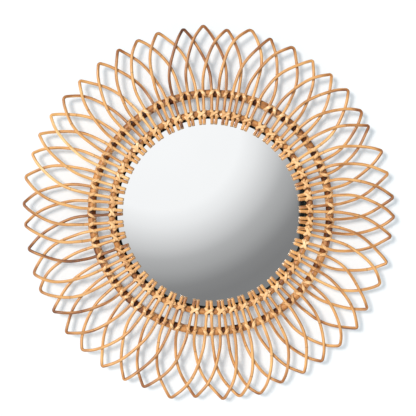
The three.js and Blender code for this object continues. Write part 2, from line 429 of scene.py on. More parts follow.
@dataclass(frozen=True)
class BoardFinish:
    """Fibreboard stained black, with its pressed fibres just showing."""

    name: str = "black_stained_board"
    stain: Shade = (30, 27, 24)
    fibre: Shade = (58, 51, 44)
    level: Pattern = Pattern((900.0, 120.0, 160.0), 3.0)
    upright: Pattern = Pattern((160.0, 120.0, 900.0), 3.0)
    clouds: Pattern = Pattern((18.0, 18.0, 18.0))
    bare_fibres: Span = (0.5, 0.75)
    bare_clouds: Span = (0.2, 0.8)
    tooth: Span = (0.4, 0.7)
    roughness: Span = (0.62, 0.85)
    fibre_depth: float = 0.2
    fibre_height: float = 0.15

    def make(self) -> bpy.types.Material:
        """The material: short crossed fibres, dull, with a slight tooth."""
        material, bench, shader = new_material(self.name)
        place = bench.place()
        fibres = bench.math("MAXIMUM", bench.noise(place, self.level),
                            bench.noise(place, self.upright))
        clouds = bench.noise(place, self.clouds)
        share = bench.math("MULTIPLY", bench.limits(fibres, self.bare_fibres),
                           bench.limits(clouds, self.bare_clouds))
        bench.give(shader, {
            "Base Color": bench.blend(share, linear(*self.stain), linear(*self.fibre)),
            "Roughness": bench.limits(fibres, self.tooth, self.roughness),
            "Normal": bench.relief(fibres, self.fibre_depth, self.fibre_height),
        })
        return material


PEELED_CANE = CaneFinish(
    "peeled_cane", (74, 38, 14), (148, 88, 38), (208, 148, 84), (229, 176, 108), (248, 212, 154),
)
# The hoops' deepest shade is also what the painted shade between each pair's canes darkens towards.
BARK_POLE = CaneFinish(
    "hoop_pole", (58, 22, 3), (120, 66, 24), (190, 128, 66), (220, 163, 99), (238, 192, 132),
    coat=0.1, roughness=(0.45, 0.65),
)
PEEL_STRIP = CaneFinish(
    "lashing_peel", (104, 58, 24), (182, 122, 68), (227, 175, 117), (243, 201, 148),
    (252, 222, 178), coat=0.25, fibre_depth=0.35,
)
SILVERED_FACE = SmoothFinish(
    "silvered_glass", grey(0.89), grey(0.91), Pattern((14.0, 14.0, 14.0), 1.0), (0.012, 0.0192),
    metallic=1.0,
)
GROUND_EDGE = SmoothFinish(
    "ground_glass_edge", dimmed(linear(120, 150, 138), 0.7), linear(120, 150, 138),
    Pattern((900.0, 2500.0, 900.0)), (0.2, 0.45),
)
BACKING_PAINT = SmoothFinish(
    "backing_paint", dimmed(linear(58, 62, 66), 0.8), linear(58, 62, 66),
    Pattern((160.0, 160.0, 160.0), 4.0), (0.5, 0.5),
)
ZINC_PLATE = SmoothFinish(
    "zinc_plate", linear(140, 141, 140), linear(186, 188, 190), Pattern((420.0, 420.0, 420.0)),
    (0.28, 0.48), Pattern((60.0, 900.0, 1800.0)), metallic=1.0,
)


class Slot(Enum):
    """The record's material slots."""

    CANE = "rattan_cane"
    HOOP = "rattan_hoop"
    GLASS = "mirror_glass"
    BOARD = "backing_board"
    HANGER = "hanger"


def finish_piece(piece: bpy.types.Object, slot: Slot, *nodes: str) -> None:
    """Says what a new piece rides on and hides the nodes that it stands for.

    Args:
        piece: the finished piece.
        slot: the record's slot that it takes its finish from; not used.
        nodes: the CAD nodes that it replaces.
    """
    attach(piece, BODY)
    if nodes:
        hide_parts(*nodes)
    LOG.info("%s: %d faces", piece.name, len(piece.data.polygons))


def face_outwards(mesh: bpy.types.Mesh) -> None:
    """Turns every face of a closed mesh outwards."""
    work = bmesh.new()
    work.from_mesh(mesh)
    bmesh.ops.recalc_face_normals(work, faces=work.faces)
    work.to_mesh(mesh)
    work.free()


def new_piece(name: str, mesh: bpy.types.Mesh, crease: float = 50.0) -> bpy.types.Object:
    """An object at the origin for a finished mesh.

    Args:
        name: the piece's name.
        mesh: its mesh, in place.
        crease: the angle in degrees past which an edge is shaded sharp.

    Returns:
        The object, in the scene.
    """
    face_outwards(mesh)
    mesh.shade_smooth()
    mesh.set_sharp_from_angle(angle=math.radians(crease))
    mesh.name = name
    piece = bpy.data.objects.new(name, mesh)
    bpy.context.scene.collection.objects.link(piece)
    return piece


def grow(tree: bpy.types.GeometryNodeTree, seedling: bpy.types.Mesh,
         values: dict[str, object]) -> bpy.types.Mesh:
    """Runs a geometry tree on a mesh.

    Args:
        tree: the tree.
        seedling: the mesh that it starts from.
        values: a value for each of the tree's named inputs.

    Returns:
        The result, as a plain mesh.
    """
    holder = bpy.data.objects.new("seedling", seedling)
    bpy.context.scene.collection.objects.link(holder)
    modifier = holder.modifiers.new("grow", "NODES")
    modifier.node_group = tree
    for item in tree.interface.items_tree:
        if item.name in values:
            modifier[item.identifier] = values[item.name]
    depsgraph = bpy.context.evaluated_depsgraph_get()
    mesh = bpy.data.meshes.new_from_object(
        holder.evaluated_get(depsgraph), preserve_all_data_layers=True, depsgraph=depsgraph)
    holder.modifiers.remove(modifier)
    bpy.data.objects.remove(holder)
    bpy.data.meshes.remove(seedling)
    return mesh


@dataclass
class Station:
    """One point of a path, with what the sweep reads there."""

    place: Vector
    girth: float = 1.0
    ring: float = 0.0
    cut: float = 0.0
    # Scorch at a cane's bends, or painted shade on a hoop between the canes of a pair.
    scorch_and_shade: float = 0.0
    tone: float = 0.0


class PoleSweep:
    """The geometry tree that grows a round pole along a path of edges."""

    READINGS = ("girth", "ring", "cut", "scorch_and_shade", "tone")
    INPUTS = {"Path": "Geometry", "Radius": "Float", "Sides": "Int", "Seed": "Float",
              "Finish": "Material"}

    def __init__(self) -> None:
        """Builds the tree once."""
        self.tree, bench, given = new_tree("pole_sweep", self.INPUTS, "Pole")
        path = bench.add("GeometryNodeMeshToCurve", {"Mesh": given["Path"]}).outputs["Curve"]
        length = bench.add("GeometryNodeSplineParameter").outputs["Length"]
        path = bench.store(path, "along", length)
        circle = bench.add("GeometryNodeCurvePrimitiveCircle", {
            "Resolution": given["Sides"], "Radius": given["Radius"],
        }).outputs["Curve"]
        across = bench.vector("NORMALIZE", bench.add("GeometryNodeInputPosition").outputs[0])
        circle = bench.store(circle, "around", across, "FLOAT_VECTOR")
        pole = bench.add("GeometryNodeCurveToMesh", {
            "Curve": path, "Profile Curve": circle, "Scale": bench.named("girth"),
            "Fill Caps": True,
        }).outputs["Mesh"]
        around = bench.named("around", "FLOAT_VECTOR")
        parts = bench.add("ShaderNodeSeparateXYZ", {0: around}).outputs
        grain = bench.add("ShaderNodeCombineXYZ", {
            "X": parts["X"], "Y": parts["Y"], "Z": bench.named("along"),
        }).outputs[0]
        pole = bench.store(pole, "grain", grain, "FLOAT_VECTOR")
        pole = bench.store(pole, "seed", given["Seed"])
        bench.end(pole, given["Finish"], "Pole")

    def grow(self, stations: list[Station], closed: bool,
             values: dict[str, object]) -> bpy.types.Mesh:
        """Grows a pole.

        Args:
            stations: the path's points.
            closed: whether the last point joins the first.
            values: the tree's inputs, apart from the path.

        Returns:
            The pole's mesh.
        """
        count = len(stations)
        edges = [(place, place + 1) for place in range(count - 1)]
        if closed:
            edges.append((count - 1, 0))
        path = bpy.data.meshes.new("path")
        path.from_pydata([station.place * MILLIMETRE for station in stations], edges, [])
        for name in self.READINGS:
            layer = path.attributes.new(name, "FLOAT", "POINT")
            layer.data.foreach_set("value", [getattr(station, name) for station in stations])
        return grow(self.tree, path, values)


@dataclass(frozen=True)
class HoopSeat:
    """Where a hoop lies: its CAD nodes, its middle's radius and depth, and its thickness."""

    nodes: tuple[str, ...]
    radius: float
    depth: float
    thickness: float


@dataclass(frozen=True)
class Ring:
    """The round layout that every piece follows, with the part's own sizes.

    The leans and half angles, in degrees, and the reaches, in millimetres, follow the real
    mirror's pairs and petals one by one, clockwise.
    """

    overall: float = 600.0
    petals: int = 50
    pairs_per_petal: int = 3
    first_pair: float = 2.3
    glass: float = 303.0
    glass_to_hoop: float = 3.5
    inner_thickness: float = 10.0
    between_hoops: float = 20.5
    outer_thickness: float = 13.0
    board_thickness: float = 6.0
    cane: float = 4.6
    cane_over_glass: float = 10.0
    wide_spacing: float = 11.0
    touch: float = 0.3
    shoulder: float = 0.3
    handle: float = 0.415
    pair_leans: tuple[float, ...] = (
        -0.4, -0.8, -2.1, -2.2, -0.7, -0.6, -0.8, -0.8, 0.2, -0.2,
        -0.9, -1, -0.6, -1, -1.9, -1.3, -0.6, -0.5, -0.9, -0.6,
        0.3, -0.1, 0, -0.6, -1.1, -1.2, -0.1, 0.9, 0.8, 1,
        1.1, 1.2, 1.5, 0.8, 0.3, 1.1, 1.3, 1.4, 1.2, 0.8,
        0.6, 0.2, 0.4, -0.1, -0.4, -0.6, 0.3, -0.6, -0.5, -0.5,
    )
    tip_leans: tuple[float, ...] = (
        -0.8, -1.4, -1.1, -0.9, -0.8, -0.9, -0.2, -2.2, -0.4, -0.3,
        0.1, -0.9, -1.9, -0.7, -1, 0.6, 0, 0.4, 0.5, 0,
        0.3, 0.6, -0.5, -2.5, -1.1, -0.8, 0.8, -0.1, 0.5, 1.2,
        1.2, 1.6, 1.9, 0.2, 0.7, 1.1, 0.3, 1.3, 1.5, 0.5,
        0.1, -0.3, -0.5, 0.3, 0.4, -0.2, -0.9, -0.1, -1.1, -0.9,
    )
    tip_reaches: tuple[float, ...] = (
        1.5, -3, -2, -5, -4.3, -3.3, -6.8, -9.3, -6.3, -7.3,
        -4.5, -4.5, -6.8, -4.3, -4, -3.5, 0.7, -1.3, -0.5, -1,
        -3, 3, 0.5, 2, -1, 6.2, 2, 4.5, 4.5, 4,
        3.7, 1, 3.2, 2.2, 0.7, 1.2, 3, 5, 3.5, 4.5,
        2.7, 1.7, 0.5, 1.5, 2.7, 2, 2.5, -0.3, 1.7, -3.8,
    )
    half_angles: tuple[float, ...] = (
        53, 39, 46, 43, 42, 44, 46, 37, 39, 37,
        39, 45, 39, 39, 53, 38, 43, 53, 48, 45,
        53, 53, 48, 43, 43, 47, 46, 39, 40, 50,
        44, 38, 53, 53, 41, 45, 47, 46, 46, 40,
        41, 49, 37, 41, 37, 49, 45, 37, 43, 44,
    )

    @property
    def pitch(self) -> float:
        """The angle between neighbouring pairs."""
        return 360 / self.petals

    @property
    def inner_radius(self) -> float:
        """The inner hoop's middle."""
        return self.glass / 2 + self.glass_to_hoop + self.inner_thickness / 2

    @property
    def outer_radius(self) -> float:
        """The outer hoop's middle."""
        thicknesses = self.inner_thickness + self.outer_thickness
        return self.inner_radius + thicknesses / 2 + self.between_hoops

    @property
    def foot_radius(self) -> float:
        """Where the canes end over the glass."""
        return self.glass / 2 - self.cane_over_glass

    @property
    def inner_depth(self) -> float:
        """The inner hoop's middle, from the wall."""
        return self.board_thickness + self.touch + self.inner_thickness / 2

    @property
    def hoop_front(self) -> float:
        """The front of both hoops."""
        return self.inner_depth + self.inner_thickness / 2

    @property
    def outer_depth(self) -> float:
        """The outer hoop's middle, from the wall."""
        return self.hoop_front - self.outer_thickness / 2

    @property
    def cane_depth(self) -> float:
        """The canes' middle, from the wall."""
        return self.hoop_front + self.touch + self.cane / 2

    @property
    def weave_offset(self) -> float:
        """How far a leg moves forwards or back where it crosses another."""
        return (self.cane + self.touch) / 2

    @property
    def inner_seat(self) -> HoopSeat:
        """The inner hoop's place."""
        return HoopSeat(INNER_HOOP_NODES, self.inner_radius, self.inner_depth, self.inner_thickness)

    @property
    def outer_seat(self) -> HoopSeat:
        """The outer hoop's place."""
        return HoopSeat(OUTER_HOOP_NODES, self.outer_radius, self.outer_depth, self.outer_thickness)

    def point(self, angle: float, radius: float, depth: float, sideways: float = 0.0) -> Vector:
        """The point at an angle, a radius and a depth, moved along the clockwise tangent."""
        turn = math.radians(angle)
        return Vector((
            radius * math.sin(turn) + sideways * math.cos(turn),
            -depth,
            radius * math.cos(turn) - sideways * math.sin(turn),
        ))

    def cane_point(self, angle: float, radius: float, sideways: float = 0.0) -> Vector:
        """The point in the middle of the canes' layer."""
        return self.point(angle, radius, self.cane_depth, sideways)

    def pair_angle(self, number: int) -> float:
        """The angle of a pair of canes; the pairs are numbered clockwise and go round."""
        return self.first_pair + number * self.pitch + self.pair_leans[number % self.petals]

    def half_spacing(self, radius: float) -> float:
        """Half the spacing of a pair of canes at a radius."""
        share = (radius - self.foot_radius) / (self.outer_radius - self.foot_radius)
        return mix(self.cane + self.touch, self.wide_spacing, share) / 2

    def tip_point(self, number: int) -> Vector:
        """Where a petal's tip stands."""
        middle = self.first_pair + (number + self.pairs_per_petal / 2) * self.pitch
        radius = self.overall / 2 - self.cane / 2 + self.tip_reaches[number]
        return self.cane_point(middle + self.tip_leans[number], radius)


class Leg(Enum):
    """The two legs of a petal: the side of its pair that it lies on, and the way it weaves."""

    LEFT = 1
    RIGHT = -1


def bezier(knots: tuple[Vector, Vector, Vector, Vector], share: float) -> Vector:
    """The point of a cubic curve at a share of its length of parameter."""
    rest = 1 - share
    first, second, third, last = knots
    return (first * rest ** 3 + second * 3 * rest ** 2 * share
            + third * 3 * rest * share ** 2 + last * share ** 3)


@dataclass
class PetalCanes:
    """The fifty canes, each bent to a pointed arch and woven past its neighbours.

    An odd tone is a petal's number, and how much paler than most its left and right legs are.
    """

    ring: Ring
    sweep: PoleSweep
    finish: bpy.types.Material
    seed: int = 11
    sides: int = 16
    foot_steps: int = 12
    leg_steps: int = 160
    bend_steps: int = 10
    spacing: float = 4.4
    tip_spacing: float = 0.9
    least_spacing: float = 0.55
    weave_starts: float = 0.26
    weave_ends: float = 0.86
    sharpest_bend: float = 2.0
    even_bend: float = 3.4
    even_opening: float = 45.0
    bend_per_degree: float = 0.4
    bend_scatter: float = 0.6
    bend_pull: float = 0.55
    tip_scorch: float = 0.25
    scorch_reach: float = 14.0
    stoutness: float = 1.05
    girth_wave: float = 0.015
    girth_wave_length: float = 37.0
    foot_flare: float = 0.13
    foot_length: float = 30.0
    foot_splay: float = 0.3
    foot_trim: float = 1.2
    end_marks: tuple[float, ...] = (0.0, 0.3, 0.9)
    end_girth: float = 0.78
    end_rounding: float = 0.9
    cut_reach: float = 0.6
    sway: float = 0.7
    sway_length: float = 85.0
    sway_from_hoops: float = 30.0
    sway_to_bend: float = 25.0
    tone_blend: float = 40.0
    usual_tone: float = -0.03
    tone_spread: float = 0.09
    odd_tones: tuple[tuple[int, float, float], ...] = (
        (1, -0.3, -0.1), (2, -0.3, -0.1), (7, 0.0, -0.3), (9, -0.1, -0.3), (24, -0.1, -0.4),
        (34, -0.6, -0.4), (37, 0.4, 0.1), (38, 0.5, 0.2), (39, 0.5, 0.3), (40, 0.5, 0.3),
        (42, 0.1, 0.3), (47, -0.6, -0.4), (48, -0.4, -0.4), (49, -0.1, -0.3),
    )
    joint_places: tuple[Span, Span] = ((0.12, 0.4), (0.58, 0.9))
    joint_marks: tuple[float, ...] = (-1.6, -1, 0, 1, 1.6)
    joint_bulge: float = 0.05
    joint_half_width: float = 1.0

    def leg_curve(self, number: int, leg: Leg, bend: float) -> tuple[list[Vector], Vector]:
        """One leg, from its end over the glass to where the tip's bend begins.

        Args:
            number: the petal's number.
            leg: which leg.
            bend: the radius of the tip's bend.

        Returns:
            Closely set points, and the direction at the last one.
        """
        ring = self.ring
        tip = ring.tip_point(number)
        first, last = ring.pair_angle(number), ring.pair_angle(number + ring.pairs_per_petal)
        spread = ring.half_spacing(ring.outer_radius)
        base = (ring.cane_point(first, ring.outer_radius, spread)
                + ring.cane_point(last, ring.outer_radius, -spread)) / 2
        outwards = (tip - base).normalized()
        towards_leg = Vector((-outwards.z, 0, outwards.x)) * leg.value
        angle = first if leg is Leg.LEFT else last
        foot_radius = ring.foot_radius + self.foot_trim
        foot_side = ring.half_spacing(foot_radius) + self.foot_splay
        foot = ring.cane_point(angle, foot_radius, leg.value * foot_side)
        edge_radius = ring.outer_radius + ring.outer_thickness / 2
        edge = ring.cane_point(angle, edge_radius, leg.value * ring.half_spacing(edge_radius))
        along = (edge - foot).normalized()
        half = math.radians(ring.half_angles[number])
        sharp = tip + outwards * bend * (1 / math.sin(half) - 1)
        reach = (edge - sharp).length
        back = towards_leg * math.sin(half) - outwards * math.cos(half)
        knots = (edge, edge + along * ring.shoulder * reach,
                 sharp + back * ring.handle * reach, sharp)
        points = [foot.lerp(edge, step / self.foot_steps) for step in range(self.foot_steps)]
        for step in range(self.leg_steps + 1):
            share = step / self.leg_steps
            place = bezier(knots, share)
            if (place - sharp).length <= bend / math.tan(half):
                break
            fall = ease((share - self.weave_ends) / (1 - self.weave_ends))
            rise = ease(share / self.weave_starts) * (1 - fall)
            points.append(place - Vector((0, leg.value * ring.weave_offset * rise, 0)))
        return points, (points[-1] - points[-2]).normalized()

    def centre_line(self, number: int, bend: float) -> tuple[list[Vector], int, int]:
        """A petal's whole path.

        Args:
            number: the petal's number.
            bend: the radius of the tip's bend.

        Returns:
            Closely set points, and the places of the first and last one of the bend.
        """
        left, left_way = self.leg_curve(number, Leg.LEFT, bend)
        right, right_way = self.leg_curve(number, Leg.RIGHT, bend)
        pull = self.bend_pull * bend
        knots = (left[-1], left[-1] + left_way * pull, right[-1] + right_way * pull, right[-1])
        arc = [bezier(knots, step / self.bend_steps) for step in range(1, self.bend_steps)]
        return left + arc + right[::-1], len(left) - 1, len(left) + len(arc)

    def waver(self, way: Vector, to_end: float, to_bend: float, mark: float,
              phase: float) -> Vector:
        """How far a hand-bent cane strays from its clean curve, beyond the hoops.

        Args:
            way: the direction of the cane there.
            to_end: the distance to the nearer end.
            to_bend: the distance to the tip's bend.
            mark: the distance along the cane.
            phase: the cane's own shift of the pattern.

        Returns:
            The move, level with the wall.
        """
        past_hoops = ease((to_end - self.foot_length * 2) / self.sway_from_hoops)
        free = past_hoops * ease(to_bend / self.sway_to_bend)
        turn = 2 * math.pi * mark / self.sway_length + phase
        return Vector((-way.z, 0, way.x)).normalized() * self.sway * free * math.sin(turn)

    def marks(self, length: float, start: float, end: float, joints: list[float]) -> list[float]:
        """The distances along a cane that get a station.

        Args:
            length: the cane's length.
            start, end: where the tip's bend starts and ends.
            joints: where the cane's joints are.

        Returns:
            The distances, in order.
        """
        marks = set(self.end_marks) | {length - mark for mark in self.end_marks}
        bend_steps = int((end - start) / self.tip_spacing) + 2
        marks.update(start + step * self.tip_spacing for step in range(bend_steps))
        for joint in joints:
            marks.update(joint + step * self.joint_half_width for step in self.joint_marks)
        close = sorted(marks)
        for step in range(1, int(length / self.spacing)):
            mark = step * self.spacing
            if min(abs(mark - other) for other in close) > self.least_spacing * self.spacing:
                marks.add(mark)
        return sorted(marks)

    def stations(self, number: int, tones: Sequence[float], dice: random.Random) -> list[Station]:
        """The stations of a petal's cane, close at its bend, its joints and its ends.

        Args:
            number: the petal's number.
            tones: how much paler the cane is than most, along its left leg and its right one.
            dice: the source of its unevenness.

        Returns:
            The stations from the left end to the right one.
        """
        opening = self.ring.half_angles[number] - self.even_opening
        bend = self.even_bend + self.bend_per_degree * opening
        bend += dice.uniform(-self.bend_scatter, self.bend_scatter)
        line, bend_from, bend_to = self.centre_line(number, max(bend, self.sharpest_bend))
        run = [0.0]
        for first, second in zip(line, line[1:]):
            run.append(run[-1] + (second - first).length)
        length, start, end = run[-1], run[bend_from], run[bend_to]
        joints = [dice.uniform(*places) * length for places in self.joint_places]
        phase = dice.uniform(0, 2 * math.pi)
        stations, place = [], 0
        for mark in self.marks(length, start, end, joints):
            while place < len(run) - 2 and run[place + 1] < mark:
                place += 1
            share = (mark - run[place]) / (run[place + 1] - run[place])
            to_end, to_bend = min(mark, length - mark), max(start - mark, mark - end)
            spot = line[place].lerp(line[place + 1], share) + self.waver(
                line[place + 1] - line[place], to_end, to_bend, mark, phase)
            to_joint = min(abs(mark - joint) for joint in joints)
            ring = max(1 - to_joint / (self.joint_marks[-1] * self.joint_half_width), 0.0)
            wave = self.girth_wave * math.sin(mark / self.girth_wave_length + phase)
            girth = self.stoutness + wave + self.joint_bulge * ring
            girth += self.foot_flare * (1 - ease(to_end / self.foot_length))
            girth *= mix(self.end_girth, 1.0, math.sqrt(min(to_end / self.end_rounding, 1.0)))
            scorch_and_shade = self.tip_scorch * (1 - ease(to_bend / self.scorch_reach))
            cut = 1 - ease(to_end / self.cut_reach)
            right_share = ease((mark - (start + end) / 2) / self.tone_blend + 0.5)
            stations.append(Station(spot, girth, ring, cut, scorch_and_shade, mix(*tones, right_share)))
        return stations

    def build(self) -> None:
        """Grows and dresses every cane."""
        dice = random.Random(self.seed)
        odd = {number: tones for number, *tones in self.odd_tones}
        for number in range(self.ring.petals):
            usual = [dice.gauss(self.usual_tone, self.tone_spread) for _ in Leg]
            mesh = self.sweep.grow(self.stations(number, odd.get(number, usual), dice), False, {
                "Radius": self.ring.cane / 2 * MILLIMETRE, "Sides": self.sides,
                "Seed": dice.uniform(*SEEDS), "Finish": self.finish,
            })
            piece = new_piece(f"bent_cane_{number + 1:02d}", mesh)
            finish_piece(piece, Slot.CANE, f"petal_{number + 1:02d}")


@dataclass
class Hoop:
    """A rattan pole bent to a ring, its ends meeting at the bottom."""

    ring: Ring
    sweep: PoleSweep
    finish: bpy.types.Material
    name: str
    seat: HoopSeat
    tone: float
    seed: int
    sides: int = 24
    steps: int = 500
    joints: int = 5
    joint_places: Span = (0.2, 0.8)
    joint_marks: tuple[int, ...] = (-2, -1, 0, 1, 2)
    joint_clearance: float = 3.5
    joint_bulge: float = 0.02
    girth_wave: float = 0.015
    girth_waves: int = 7
    sway: float = 0.25
    sway_waves: int = 3
    # How dark the painted shade on the pole between each pair's canes is, and how soft its edge.
    shade: float = 0.6
    shade_edge: float = 2.0

    def painted_shade(self, apart: float) -> float:
        """How much painted shade the pole takes at a distance in millimetres from the middle of a
        pair.

        It stands for the shade that falls on the pole between and beside the two canes of the pair.
        """
        hidden = self.ring.half_spacing(self.seat.radius) + self.ring.cane / 2
        return self.shade * (1 - ease((apart - hidden) / self.shade_edge + 0.5))

    def stations(self, dice: random.Random) -> list[Station]:
        """The stations round the hoop, from the bottom clockwise.

        Args:
            dice: the source of its unevenness.

        Returns:
            The stations, the first one not repeated at the end.
        """
        joints = [(number + dice.uniform(*self.joint_places)) / self.joints * FULL_TURN
                  for number in range(self.joints)]
        joints.append(0.0)
        fine = math.degrees(1.0 / self.seat.radius)
        marks = {step * FULL_TURN / self.steps for step in range(self.steps)}
        for joint in joints:
            marks = {mark for mark in marks
                     if not 0 < abs(mark - joint) < self.joint_clearance * fine}
            marks.update((joint + step * fine) % FULL_TURN for step in self.joint_marks)
        pairs = [(self.ring.pair_angle(number) - HALF_TURN) % FULL_TURN
                 for number in range(self.ring.petals)]
        phase = dice.uniform(0, 2 * math.pi)
        stations = []
        for mark in sorted(marks):
            # Painted shade on the pole between and beside the two canes of each pair.
            to_pair = min(angle_between(mark, pair) for pair in pairs)
            scorch_and_shade = self.painted_shade(math.radians(to_pair) * self.seat.radius)
            to_joint = min(angle_between(mark, joint) for joint in joints)
            ring = max(1 - to_joint / (self.joint_marks[-1] * fine), 0.0)
            turn = math.radians(mark)
            radius = self.seat.radius + self.sway * math.sin(self.sway_waves * turn + phase)
            wave = self.girth_wave * math.sin(self.girth_waves * turn + phase)
            girth = 1 + wave + self.joint_bulge * ring
            place = self.ring.point(mark + HALF_TURN, radius, self.seat.depth)
            stations.append(Station(place, girth, ring, 0.0, scorch_and_shade, self.tone))
        return stations

    def build(self) -> None:
        """Grows and dresses the hoop."""
        dice = random.Random(self.seed)
        mesh = self.sweep.grow(self.stations(dice), True, {
            "Radius": self.seat.thickness / 2 * MILLIMETRE, "Sides": self.sides,
            "Seed": dice.uniform(*SEEDS), "Finish": self.finish,
        })
        finish_piece(new_piece(self.name, mesh), Slot.HOOP, *self.seat.nodes)


class Knot(Enum):
    """How the canes of a pair are tied to a hoop."""

    CROSS = "one cross over both canes"
    SINGLE = "one slanting strip over each cane"


@dataclass(frozen=True)
class StripPoint:
    """A point of a strip's underside, and the way that its outer face looks there."""

    sideways: float
    outwards: float
    depth: float
    look: Vector

    def mirrored(self) -> "StripPoint":
        """The point over the other cane of the pair and on the other side of the hoop."""
        look = Vector((-self.look.x, self.look.y, -self.look.z))
        return StripPoint(-self.sideways, -self.outwards, self.depth, look)


class TieScatter:
    """The geometry tree that sets a tie on every pair of canes round a hoop."""

    TIES = ("Tie 1", "Tie 2", "Tie 3", "Tie 4")
    INPUTS = {"Pairs": "Geometry", **dict.fromkeys(TIES, "Object"), "Seed": "Int",
              "Finish": "Material"}

    def __init__(self) -> None:
        """Builds the tree once."""
        self.tree, bench, given = new_tree("tie_scatter", self.INPUTS, "Ties")
        together = bench.add("GeometryNodeJoinGeometry")
        for name in self.TIES:
            tie = bench.add("GeometryNodeObjectInfo", {"Object": given[name], "As Instance": True})
            self.tree.links.new(tie.outputs["Geometry"], together.inputs[0])
        pick = bench.add("FunctionNodeRandomValue", {
            "Min_002": 0, "Max_002": len(self.TIES) - 1, "Seed": given["Seed"],
        }, data_type="INT")
        euler = bench.add("ShaderNodeCombineXYZ", {"Y": bench.named("turn")})
        points = bench.add("GeometryNodeMeshToPoints", {"Mesh": given["Pairs"]})
        ties = bench.add("GeometryNodeInstanceOnPoints", {
            "Points": points.outputs[0], "Instance": together.outputs[0], "Pick Instance": True,
            "Instance Index": NodeBench.socket(pick.outputs, "Value_002"),
            "Rotation": euler.outputs[0],
        })
        bench.end(ties.outputs[0], given["Finish"], "Ties")


